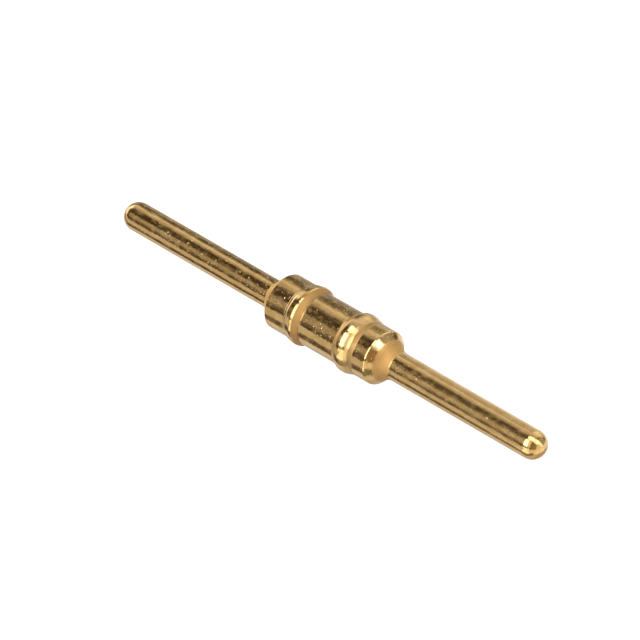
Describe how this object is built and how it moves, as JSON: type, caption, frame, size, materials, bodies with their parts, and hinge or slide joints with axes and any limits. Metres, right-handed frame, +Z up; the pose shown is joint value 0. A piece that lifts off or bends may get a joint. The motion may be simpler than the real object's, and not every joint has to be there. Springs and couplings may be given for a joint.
{
  "type": "pc pin",
  "caption": "Gold-plated turned contact pin: a thicker barbed body that presses into an insulator, with a round-tipped mating pin ahead of it and a solder tail behind.",
  "frame": {"origin": "on the pin's axis, at the middle of its overall length", "axes": "+X along the axis towards the mating end, +Z up with the pin lying level"},
  "size_m": [0.019, 0.002, 0.002],
  "materials": {
    "gold_plating": "gold plating over a turned surface, satin with fine pits and scratches"
  },
  "bodies": {
    "root": {"contact_pin": "gold_plating"}
  },
  "joints": []
}
